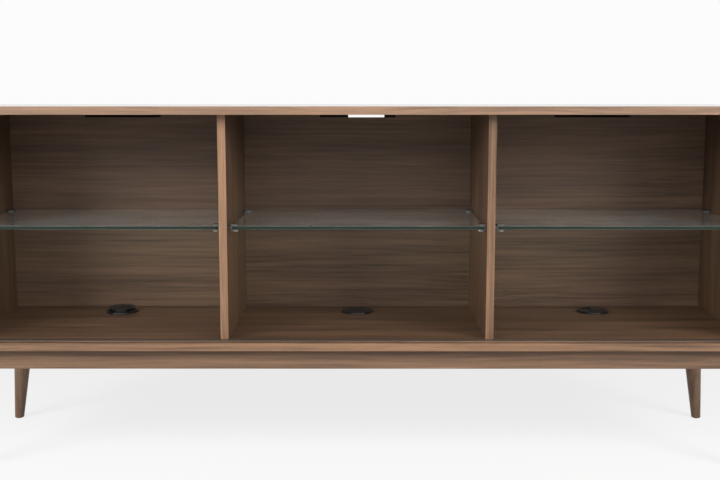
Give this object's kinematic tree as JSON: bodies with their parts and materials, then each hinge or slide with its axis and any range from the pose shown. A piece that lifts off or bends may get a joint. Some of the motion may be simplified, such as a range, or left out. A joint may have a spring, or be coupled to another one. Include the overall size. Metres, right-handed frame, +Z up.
{
  "type": "media cabinet",
  "caption": "Low walnut media cabinet with open bays, clamped glass shelves, cable slots and grommets, on an apron frame with tapered splayed legs.",
  "frame": {"origin": "on the floor, under the middle of the case", "axes": "+X along the width towards the right-hand end seen from the front, +Y from front to rear, +Z up"},
  "size_m": [1.905, 0.457, 0.864],
  "materials": {
    "walnut": "satin walnut veneer",
    "walnut_back": "satin walnut veneer",
    "dowel_beech": "unfinished",
    "beech_block": "unfinished",
    "rubber_strip": "matt black",
    "clear_pad": "translucent",
    "shelf_glass": "clear with a green edge",
    "satin_steel": "satin nickel",
    "black_plastic": "black, half gloss",
    "track_aluminium": "satin anodised",
    "zinc_steel": "zinc plated",
    "glide_nylon": "matt"
  },
  "bodies": {
    "cabinet": {"back_screws": "zinc_steel", "case_dowels": "dowel_beech", "centre_back_panel": "walnut_back", "centre_cable_strip": "rubber_strip", "centre_clamp_screws": "satin_steel", "centre_clip_pads": "clear_pad", "centre_grommet_liner": "black_plastic", "centre_shelf_clips": "satin_steel", "floor_panel": "walnut", "foot_glides": "glide_nylon", "frame_screws": "zinc_steel", "front_left_block": "beech_block", "front_left_leg": "walnut", "front_rail": "walnut", "front_right_block": "beech_block", "front_right_leg": "walnut", "left_back_panel": "walnut_back", "left_cable_strip": "rubber_strip", "left_clamp_screws": "satin_steel", "left_clip_pads": "clear_pad", "left_cross_rail": "walnut", "left_divider": "walnut", "left_end_rail": "walnut", "left_grommet_liner": "black_plastic", "left_shelf_clips": "satin_steel", "left_side_panel": "walnut", "leg_bolts": "zinc_steel", "leg_plate_screws": "zinc_steel", "leg_plates": "zinc_steel", "lower_door_track": "track_aluminium", "rail_dowels": "dowel_beech", "rear_left_block": "beech_block", "rear_left_leg": "walnut", "rear_rail": "walnut", "rear_right_block": "beech_block", "rear_right_leg": "walnut", "right_back_panel": "walnut_back", "right_cable_strip": "rubber_strip", "right_clamp_screws": "satin_steel", "right_clip_pads": "clear_pad", "right_cross_rail": "walnut", "right_divider": "walnut", "right_end_rail": "walnut", "right_grommet_liner": "black_plastic", "right_shelf_clips": "satin_steel", "right_side_panel": "walnut", "top_panel": "walnut", "track_screws": "zinc_steel", "upper_door_track": "track_aluminium"},
    "left_cap": {"left_grommet_cap": "black_plastic"},
    "left_shutter": {"left_grommet_shutter": "black_plastic"},
    "left_shelf": {"left_glass_shelf": "shelf_glass"},
    "centre_cap": {"centre_grommet_cap": "black_plastic"},
    "centre_shutter": {"centre_grommet_shutter": "black_plastic"},
    "centre_shelf": {"centre_glass_shelf": "shelf_glass"},
    "right_cap": {"right_grommet_cap": "black_plastic"},
    "right_shutter": {"right_grommet_shutter": "black_plastic"},
    "right_shelf": {"right_glass_shelf": "shelf_glass"}
  },
  "joints": [
    {"name": "left_cap_lift", "type": "slide", "parent": "cabinet", "child": "left_cap", "axis": [0, 0, 1], "range_m": [-0.009, 0.15]},
    {"name": "left_shutter_turn", "type": "hinge", "parent": "left_cap", "child": "left_shutter", "pos_m": [-0.62867, 0.1355, 0.3165], "axis": [0, 0, 1], "continuous": true},
    {"name": "left_shelf_draw", "type": "slide", "parent": "cabinet", "child": "left_shelf", "axis": [0, -1, 0], "range_m": [0, 0.44]},
    {"name": "centre_cap_lift", "type": "slide", "parent": "cabinet", "child": "centre_cap", "axis": [0, 0, 1], "range_m": [0, 0.15]},
    {"name": "centre_shutter_turn", "type": "hinge", "parent": "centre_cap", "child": "centre_shutter", "pos_m": [0, 0.1355, 0.3165], "axis": [0, 0, 1], "continuous": true},
    {"name": "centre_shelf_draw", "type": "slide", "parent": "cabinet", "child": "centre_shelf", "axis": [0, -1, 0], "range_m": [0, 0.44]},
    {"name": "right_cap_lift", "type": "slide", "parent": "cabinet", "child": "right_cap", "axis": [0, 0, 1], "range_m": [0, 0.15]},
    {"name": "right_shutter_turn", "type": "hinge", "parent": "right_cap", "child": "right_shutter", "pos_m": [0.62867, 0.1355, 0.3165], "axis": [0, 0, 1], "continuous": true},
    {"name": "right_shelf_draw", "type": "slide", "parent": "cabinet", "child": "right_shelf", "axis": [0, -1, 0], "range_m": [0, 0.44]}
  ]
}
